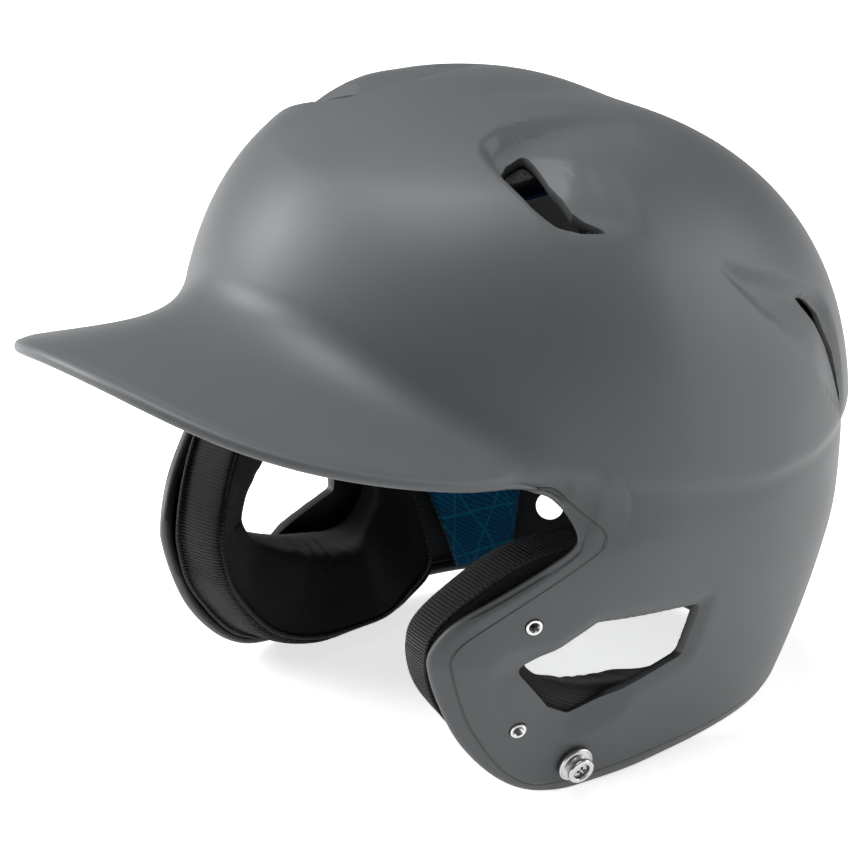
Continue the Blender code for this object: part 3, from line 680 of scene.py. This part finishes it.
def make_shell():
    half, rim = shell_layers()
    columns, rows = half.shape[:2]
    bm = surface(columns, rows, lambda i, j: half[i, j])
    middle = metres(ABOVE_NOTCH)
    crowded = [v for v in bm.verts if (v.co - middle).length < NOTCH_REACH * 0.001]
    for _ in range(12):
        bmesh.ops.smooth_vert(bm, verts=crowded, factor=0.5, use_axis_x=True, use_axis_y=True,
                              use_axis_z=True)
    bmesh.ops.mirror(bm, geom=bm.verts[:] + bm.edges[:] + bm.faces[:], merge_dist=0.00003, axis="X")
    bmesh.ops.recalc_face_normals(bm, faces=bm.faces)
    bmesh.ops.triangulate(bm, faces=[f for f in bm.faces if len(f.verts) > 4])
    shell = new_object("helmet_shell", bm, materials["shell"])
    carve(shell, shell_openings())
    mesh = shell.data
    mesh.shade_smooth()
    mesh.set_sharp_from_angle(angle=math.radians(38))
    points = vertex_rows(mesh, "co") * 1000 + (0, -Y_SHIFT, FLOOR)
    facing_out = ((points - HEAD_MIDDLE) * vertex_rows(mesh, "normal")).sum(1)
    points[:, 0] = abs(points[:, 0])
    x, y, z = points.T
    gap, _ = line_distance(y, z, GROOVE_CURVE)
    above = inside(y, z, GROOVE_CURVE + [(100, 300), (-110, 300)])
    fade = 1 + 20 * smooth((-88 - y) / 14)
    off = 9.0
    # The groove distance gives the groove's dent and its painted shade in the shell material.
    mark(mesh, "groove", np.where((x > 45) & (y < 95), gap * np.where(above, 1, -1) * fade, off))
    near = np.full(len(points), 99.0)
    for place in rim:
        near = np.minimum(near, np.linalg.norm(points - place, axis=1))
    mark(mesh, "rim", near)
    # Marks the inner face, which the shell material paints near-black as painted shade.
    mark(mesh, "inside", facing_out < -8)
    fit(shell, "shell", "shell_plastic", "outer_shell")


# ---- foam and pads ----------------------------------------------------------------------------
def pillow(name, where, size, depth, thickness, material, plump=8.0, cuts=15, channels=()):
    """A closed pad on the wall: where(u, v) gives angle and level for u, v from -1 to 1.

    Its outer face follows the wall's relief; channels are the places of its grooves across u.
    """
    bm = bmesh.new()
    bmesh.ops.create_cube(bm, size=2)
    bmesh.ops.subdivide_edges(bm, edges=bm.edges[:], cuts=cuts, use_grid_fill=True)
    layer = bm.loops.layers.uv.new("UVMap")
    for face in bm.faces:
        for loop in face.loops:
            x, y, _ = loop.vert.co
            loop[layer].uv = (x * size[0] / 2, y * size[1] / 2)
    spots = []
    for vert in bm.verts:
        u, v, w = (math.copysign(abs(k) ** 0.8, k) for k in vert.co)
        crown = (max(1 - abs(u) ** plump, 0) * max(1 - abs(v) ** plump, 0)) ** 0.4
        pinch = 0.985 - 0.02 * (1 - w * w)
        full = 0.25 + 0.75 * crown if w > 0 else 0.72 + 0.28 * crown
        for place in channels:
            full -= 0.16 * math.exp(-((u - place) * size[0] / 5) ** 2) * (w > 0)
        angle, z = where(u * pinch, v * pinch)
        spots.append((angle, z, 0.5 + 0.5 * w * full))
    sunk = relief(np.array([tuple(wall_point(abs(angle), z)) for angle, z, _ in spots]))
    for vert, (angle, z, share), shift in zip(bm.verts, spots, sunk):
        at = depth + thickness * share + float(shift) * (1 - share)
        p = wall_point(abs(angle), z, at)
        vert.co = metres((math.copysign(p.x, angle), p.y, p.z))
    bmesh.ops.recalc_face_normals(bm, faces=bm.faces)
    obj = new_object(name, bm, material, 80)
    subdivided(obj)
    return obj


def quad_place(corners):
    """A four-sided patch of the wall between corners given as (degrees, level)."""
    (a0, z0), (a1, z1), (a2, z2), (a3, z3) = corners

    def where(u, v):
        s, t = (u + 1) / 2, (1 - v) / 2
        angle = (a0 * (1 - s) + a1 * s) * (1 - t) + (a3 * (1 - s) + a2 * s) * t
        return math.radians(angle), (z0 * (1 - s) + z1 * s) * (1 - t) + (z3 * (1 - s) + z2 * s) * t

    return where


def rear_place(top_angle, low_angle, high, low):
    """Across the back of the head: the angle runs from the left side round to the right."""
    def where(u, v):
        t = (1 - v) / 2
        reach = (180 - top_angle) * (1 - t) + (180 - low_angle) * t
        angle = 180 - abs(u) * reach
        return math.copysign(math.radians(angle), u if u else 1.0), high * (1 - t) + low * t

    return where


def crown_place(radius):
    """A round patch about the crown."""
    def where(u, v):
        x, y = u * math.sqrt(1 - v * v / 2), v * math.sqrt(1 - u * u / 2)
        turn = math.atan2(x, -y) if (x or y) else 0.0
        reach = min(math.hypot(x, y), 1.0) * radius / HALF_WIDTH
        c, s = math.cos(turn), math.sin(turn)
        arch = arch_power(c, s)
        level = (1 - reach ** arch) ** (1 / arch)
        return turn, WIDEST_LEVEL + (HEIGHT - WIDEST_LEVEL) * level - 0.02

    return where


def make_liner():
    foam, blue = materials["foam"], materials["blue"]
    inner = LINER + FOAM_THICKNESS + 0.8
    front = quad_place([(-42, 197), (42, 197), (46, 166), (-46, 166)])
    front_inner = quad_place([(-38, 193), (38, 193), (42, 169), (-42, 169)])
    side = quad_place([(84, 178), (119, 172), (114, 112), (80, 112)])
    low = quad_place([(106, 66), (132, 66), (131, 13), (119, 9)])
    rear, rear_inner = rear_place(142, 144, 150, 62), rear_place(146, 148, 145, 68)
    blocks = [("front_foam_block", front, (130, 36), "front_foam", (-0.5, 0, 0.5)),
              ("rear_foam_block", rear, (140, 90), "rear_foam", (-0.6, -0.2, 0.2, 0.6)),
              ("left_foam_block", side, (62, 64), "left_side_foam", (-0.3, 0.3)),
              ("crown_foam_disc", crown_place(52), (104, 104), "crown_foam", (-0.35, 0.35))]
    for name, where, size, node, channels in blocks:
        obj = pillow(name, where, size, LINER, FOAM_THICKNESS, foam, 26.0, 17, channels)
        fit(obj, "shell", "impact_foam", node)
        if name.startswith("left"):
            fit(mirrored(obj, "right_foam_block"), "shell", "impact_foam", "right_side_foam")
    pads = [("front_comfort_pad", front_inner, (115, 28), "front_pad", inner, PAD_THICKNESS),
            ("rear_comfort_pad", rear_inner, (120, 78), "rear_pad", inner, PAD_THICKNESS),
            ("crown_comfort_pad", crown_place(42), (84, 84), "crown_pad", inner, PAD_THICKNESS),
            ("left_low_pad", low, (42, 58), "left_side_pad", LINER, SIDE_PAD_THICKNESS)]
    for name, where, size, node, depth, thickness in pads:
        obj = pillow(name, where, size, depth, thickness, blue)
        fit(obj, "shell", "blue_fabric", node)
        if name.startswith("left"):
            twin = fit(mirrored(obj, "right_low_pad"), "shell", "blue_fabric", "right_side_pad")


# ---- jaw pads -----------------------------------------------------------------------------------
JAW_BACK = LINER + PATCH_THICKNESS + 0.3
JAW_COLUMNS, JAW_AROUND = 260, 56
WALL_SEAM, CHEEK_SEAM = 0.17, 0.5  # places of the two seams round the section


def jaw_point(turn, around, swell=0.0):
    """Surface of the left jaw pad: turn goes round the ear, around goes round the pad's section."""
    outer = Vector(chain_point(PAD_OUTLINE, turn, closed=True))
    hole = Vector(chain_point(PAD_HOLE, turn, closed=True))
    tall = JAW_THICKNESS * (1 - 0.5 * float(smooth((outer.x + 5) / 35)))
    front = JAW_BACK + tall
    away = (outer - Vector((-30, 56))).normalized()
    back, wide = outer + away * 3.2, outer + away * 4.8
    section = [(hole, JAW_BACK + 0.4), (back, JAW_BACK + 0.2), (wide, JAW_BACK + 0.22 * tall),
               (wide, front - 0.24 * tall), (wide.lerp(hole, 0.10), front - 1.4),
               (wide.lerp(hole, 0.45), front - 0.2), (hole.lerp(wide, 0.12), front - 1.8),
               (hole, front - 0.4 * tall)]
    flat = [(p.x, p.y, depth) for p, depth in section]
    y, z, depth = chain_point(flat, around, closed=True)
    if swell:
        middle = Vector(((outer.x + hole.x) / 2, (outer.y + hole.y) / 2, (JAW_BACK + front) / 2))
        away = (Vector((y, z, depth)) - middle).normalized()
        y, z, depth = y + away.x * swell, z + away.y * swell, depth + away.z * swell
    y, z = min(max(y, -88), 90), max(z, 6.0)
    base = side_point(y, z)
    inward = side_point(y, z, 1.0) - base
    lean = (Vector((-1, 0, 0)) * 0.75 + inward * 0.25).normalized()
    return base + inward * JAW_BACK + lean * (depth - JAW_BACK)


def jaw_swell(turn, around):
    """Puckers at the ear opening and soft folds on the cheek side."""
    near_hole = math.exp(-((around - 0.84) / 0.075) ** 2)
    cheek = math.exp(-((around - 0.66) / 0.12) ** 2)
    pucker = math.sin(turn * 2 * math.pi * 23 + 2.2 * math.sin(turn * 2 * math.pi * 5))
    pucker *= 0.5 + 0.5 * math.sin(turn * 2 * math.pi * 3 + 1)
    fold = math.sin(turn * 2 * math.pi * 7 + 0.8)
    seam = sum(math.exp(-((around - place) / 0.012) ** 2) for place in (CHEEK_SEAM, WALL_SEAM))
    return 0.4 * near_hole * pucker + 0.5 * cheek * fold - 0.7 * seam


def ring_of_cord(name, around, radius, material):
    """Piping that follows the jaw pad at one place of its section."""
    steps, sides = JAW_COLUMNS, 10
    centres = [jaw_point(i / steps, around, 0.15) for i in range(steps)]
    middle = sum(centres, Vector()) / steps

    def point(i, j):
        here = centres[i % steps]
        along = (centres[(i + 1) % steps] - centres[i - 1 if i % steps else steps - 1]).normalized()
        side = along.cross(here - middle).normalized()
        up = side.cross(along)
        turn = j / sides * 2 * math.pi
        return here + (side * math.cos(turn) + up * math.sin(turn)) * radius

    bm = surface(steps + 1, sides + 1, point, lambda i, j: (i * 1.2, j))
    return new_object(name, bm, material, 80)


def make_jaw_pads():
    piping, length, girth = materials["piping"], 300.0, 100.0

    def point(i, j):
        turn, around = (i % JAW_COLUMNS) / JAW_COLUMNS, (j % JAW_AROUND) / JAW_AROUND
        return jaw_point(turn, around, jaw_swell(turn, around))

    def uv(i, j):
        return i / JAW_COLUMNS * length, j / JAW_AROUND * girth

    bm = surface(JAW_COLUMNS + 1, JAW_AROUND + 1, point, uv)
    left = new_object("left_jaw_cushion", bm, materials["jaw"], 80)
    layer = left.data.uv_layers["UVMap"].data
    gusset = np.zeros(len(left.data.vertices))
    for loop in left.data.loops:
        v = layer[loop.index].uv.y / girth
        gusset[loop.vertex_index] = 1.0 if WALL_SEAM < v < CHEEK_SEAM - 0.01 else 0.0
    mark(left.data, "gusset", gusset)
    outer_cord = ring_of_cord("left_outer_piping", 0.19, 0.8, piping)
    inner_cord = ring_of_cord("left_inner_piping", CHEEK_SEAM, 0.9, piping)
    pieces = [(left, "right_jaw_cushion", "jaw_pad"), (outer_cord, "right_outer_piping", None),
              (inner_cord, "right_inner_piping", None)]
    for obj, twin_name, node in pieces:
        twin = mirrored(obj, twin_name)
        for piece, side in ((obj, "left"), (twin, "right")):
            nodes = ["%s_%s" % (side, node)] if node else []
            fit(piece, side + "_jaw", "jaw_fabric", *nodes)


def make_patches():
    for name, y, z in PAD_PATCHES:
        half = PATCH_SIZE / 2

        def where(u, v, y=y, z=z, half=half):
            level = z + v * half
            return angle_at(y + u * half, level), level

        left = pillow("left_%s_hook_patch" % name, where, (PATCH_SIZE, PATCH_SIZE), LINER,
                      PATCH_THICKNESS, materials["hook"], 20.0, 7)
        fit(left, "shell", "hook_and_loop", "left_%s_patch" % name)
        fit(mirrored(left, "right_%s_hook_patch" % name), "shell", "hook_and_loop",
            "right_%s_patch" % name)


# ---- hardware -----------------------------------------------------------------------------------
def lathe(profile, steps=48):
    """A bmesh turned round Z from (radius, height) pairs in millimetres."""
    bm = bmesh.new()
    verts = [bm.verts.new((r * 0.001, 0, h * 0.001)) for r, h in profile]
    for a, b in zip(verts, verts[1:]):
        bm.edges.new((a, b))
    bmesh.ops.spin(bm, geom=bm.verts[:] + bm.edges[:], cent=(0, 0, 0), axis=(0, 0, 1),
                   angle=2 * math.pi, steps=steps, use_merge=True)
    bmesh.ops.remove_doubles(bm, verts=bm.verts, dist=0.000005)
    bmesh.ops.recalc_face_normals(bm, faces=bm.faces)
    return bm


def stand(y, z):
    """The turn and the move that put a piece made round Z onto the wall."""
    turn = side_normal(y, z).to_track_quat("Z", "Y").to_matrix().to_4x4()
    return Matrix.Translation(metres(side_point(y, z))) @ turn


def cross_recess(width, depth, top):
    """A cross-shaped cutter for a screw head."""
    bm = bmesh.new()
    narrow = width * 0.28
    for sx, sy in ((width, narrow), (narrow, width)):
        bmesh.ops.create_cube(bm, size=0.001, matrix=Matrix.Translation((0, 0, top * 0.001))
                              @ Matrix.Diagonal((sx, sy, depth * 2, 1)))
    return new_object("recess", bm, materials["zinc"])


def make_hardware():
    """Threaded inserts, snap studs, screws and nuts: (radius, height) outlines turned round Z."""
    steel, zinc = materials["steel"], materials["zinc"]
    thread = []
    for k in range(10):
        thread += [(1.62, 0.1 - k * 0.5), (1.86, -0.15 - k * 0.5)]
    nut = [(1.9, 0.46), (2.05, 0.5), (2.55, 0.5), (2.75, 0.34), (2.8, 0.1), (2.8, -3.8), (3.4, -3.85),
           (5.3, -3.9), (5.5, -4.1), (5.5, -4.75), (5.3, -5.0), (1.9, -5.0)]
    nut += thread[::-1] + nut[:1]
    stud = [(3.0, 5.72), (3.2, 5.9), (4.0, 5.9), (4.45, 5.75), (4.7, 5.35), (4.7, 4.6), (4.45, 4.1),
            (3.95, 3.8), (3.9, 3.2), (4.05, 2.6), (4.6, 2.35), (5.2, 2.3), (5.5, 2.1), (5.75, 2.3),
            (6.05, 2.25), (6.3, 1.95), (6.3, 1.3), (6.1, 0.95), (5.8, 0.9), (1.75, 0.9), (1.7, 1.0),
            (1.7, 3.9), (1.8, 4.0), (3.0, 4.0), (3.0, 5.72)]
    screw = [(0, 5.3), (1.2, 5.28), (2.1, 5.1), (2.6, 4.75), (2.7, 4.5), (2.7, 4.32), (1.4, 4.3),
             (1.4, -5.0), (1.1, -5.3), (0, -5.3)]
    nut_back = [(1.75, -3.8), (4.3, -3.8), (4.5, -4.0), (4.5, -4.9), (4.3, -5.1), (1.75, -5.1),
                (1.75, -3.8)]
    pieces = []
    for (y, z), place in zip(GUARD_NUTS, ("upper", "lower")):
        pieces.append((lathe(nut), y, z, "%s_guard_insert" % place, "bright_steel",
                       "%s_guard_nut" % place, steel))
    y, z = SNAP_PLACE
    pieces.append((lathe(stud), y, z, "strap_stud", "bright_steel", "snap_stud", steel))
    pieces.append((lathe(screw), y, z, "strap_screw", "zinc_plate", "snap_screw", zinc))
    pieces.append((lathe(nut_back, 6), y, z, "strap_nut", "zinc_plate", "snap_nut", zinc))
    for bm, y, z, name, slot, node, material in pieces:
        left = new_object("left_" + name, bm, material, 32)
        if name == "strap_screw":
            carve(left, cross_recess(3.4, 1.5, 5.3))
            left.data.set_sharp_from_angle(angle=math.radians(32))
        left.data.transform(stand(y, z))
        fit(left, "shell", slot, "left_" + node)
        fit(mirrored(left, "right_" + name), "shell", slot, "right_" + node)


# ---- stage ----------------------------------------------------------------------------------------
FLOOR_GLOW, WORLD_LIGHT = 0.72, 0.1
CAMERA_SIDE, CAMERA_LIFT, CAMERA_AWAY = 50.0, 22.0, 1.7  # degrees round, degrees up, metres
AIM_ACROSS, AIM_UP, LENS = -17.3, 91.5, 212.5


def seen_by(tree):
    """1 where the camera, a mirror or glass looks, 0 for the light that falls on the object."""
    path = tree.nodes.new("ShaderNodeLightPath")
    total = path.outputs["Is Camera Ray"]
    for name in ("Is Glossy Ray", "Is Transmission Ray"):
        add = tree.nodes.new("ShaderNodeMath")
        add.operation, add.use_clamp = "ADD", True
        tree.links.new(total, add.inputs[0])
        tree.links.new(path.outputs[name], add.inputs[1])
        total = add.outputs[0]
    return total


def make_floor():
    """A pale floor that looks white but keeps the object's shadow."""
    bm = bmesh.new()
    bmesh.ops.create_grid(bm, x_segments=1, y_segments=1, size=6.0)
    bmesh.ops.translate(bm, verts=bm.verts, vec=(0, 0, -0.0004))
    material = bpy.data.materials.new("pale floor")
    material.use_nodes = True
    tree = material.node_tree
    plain = tree.nodes["Principled BSDF"]
    plain.inputs["Base Color"].default_value = (0.85, 0.85, 0.85, 1)
    plain.inputs["Roughness"].default_value = 0.95
    plain.inputs["Specular IOR Level"].default_value = 0.0
    glow, join = tree.nodes.new("ShaderNodeEmission"), tree.nodes.new("ShaderNodeAddShader")
    scale = tree.nodes.new("ShaderNodeMath")
    scale.operation = "MULTIPLY"
    scale.inputs[1].default_value = FLOOR_GLOW
    tree.links.new(seen_by(tree), scale.inputs[0])
    tree.links.new(scale.outputs[0], glow.inputs["Strength"])
    tree.links.new(plain.outputs[0], join.inputs[0])
    tree.links.new(glow.outputs[0], join.inputs[1])
    tree.links.new(join.outputs[0], tree.nodes["Material Output"].inputs["Surface"])
    new_object("floor", bm, material)


def make_stage():
    """The floor, a background that the camera sees as white, and three lamps."""
    make_floor()
    world = bpy.data.worlds.new("studio")
    bpy.context.scene.world = world
    world.use_nodes = True
    tree = world.node_tree
    light, white = tree.nodes["Background"], tree.nodes.new("ShaderNodeBackground")
    for background, strength in ((light, WORLD_LIGHT), (white, 1.0)):
        background.inputs["Color"].default_value = (1, 1, 1, 1)
        background.inputs["Strength"].default_value = strength
    mix = tree.nodes.new("ShaderNodeMixShader")
    ray = tree.nodes.new("ShaderNodeLightPath")
    tree.links.new(ray.outputs["Is Camera Ray"], mix.inputs[0])
    tree.links.new(light.outputs[0], mix.inputs[1])
    tree.links.new(white.outputs[0], mix.inputs[2])
    tree.links.new(mix.outputs[0], tree.nodes["World Output"].inputs["Surface"])
    lamps = (("left", (-1.3, -1.0, 0.9), 1.0, 36), ("right", (0.9, 1.3, 0.6), 1.0, 13),
             ("overhead", (-0.1, -0.3, 1.9), 1.3, 34))
    for name, place, size, power in lamps:
        data = bpy.data.lights.new(name, "AREA")
        data.size, data.energy = size, power
        lamp = bpy.data.objects.new(name, data)
        lamp.location = place
        lamp.rotation_euler = (Vector((0, 0, 0.1)) - Vector(place)).to_track_quat("-Z", "Y").to_euler()
        bpy.context.scene.collection.objects.link(lamp)
    bpy.context.scene.view_settings.view_transform = "Standard"


def make_camera():
    """A long lens at the front left, a little above the helmet."""
    a, e = math.radians(CAMERA_SIDE), math.radians(CAMERA_LIFT)
    right = Vector((math.cos(a), math.sin(a), 0))
    up = Vector((-math.sin(a) * math.sin(e), math.cos(a) * math.sin(e), math.cos(e)))
    ahead = Vector((-math.sin(a) * math.cos(e), math.cos(a) * math.cos(e), -math.sin(e)))
    aim = right * AIM_ACROSS + up * AIM_UP
    aim -= ahead * (aim.x / ahead.x)
    data = bpy.data.cameras.new("camera")
    data.lens, data.sensor_width = LENS, 36.0
    camera = bpy.data.objects.new("camera", data)
    turn = Matrix((right, up, -ahead)).transposed().to_4x4()
    camera.matrix_world = Matrix.Translation(metres(aim) - ahead * CAMERA_AWAY) @ turn
    bpy.context.scene.collection.objects.link(camera)
    bpy.context.scene.camera = camera


materials = {"shell": shell_finish(), "foam": foam_finish(), "blue": printed_finish(),
             "jaw": jaw_finish(), "piping": piping_finish(), "hook": hook_finish(),
             "steel": metal_finish("bright steel", (0.6, 0.6, 0.61), (0.42, 0.42, 0.42), 0.24),
             "zinc": metal_finish("zinc plate", (0.5, 0.5, 0.51), (0.34, 0.34, 0.34), 0.32)}
make_shell()
make_liner()
make_jaw_pads()
make_patches()
make_hardware()
make_stage()
make_camera()
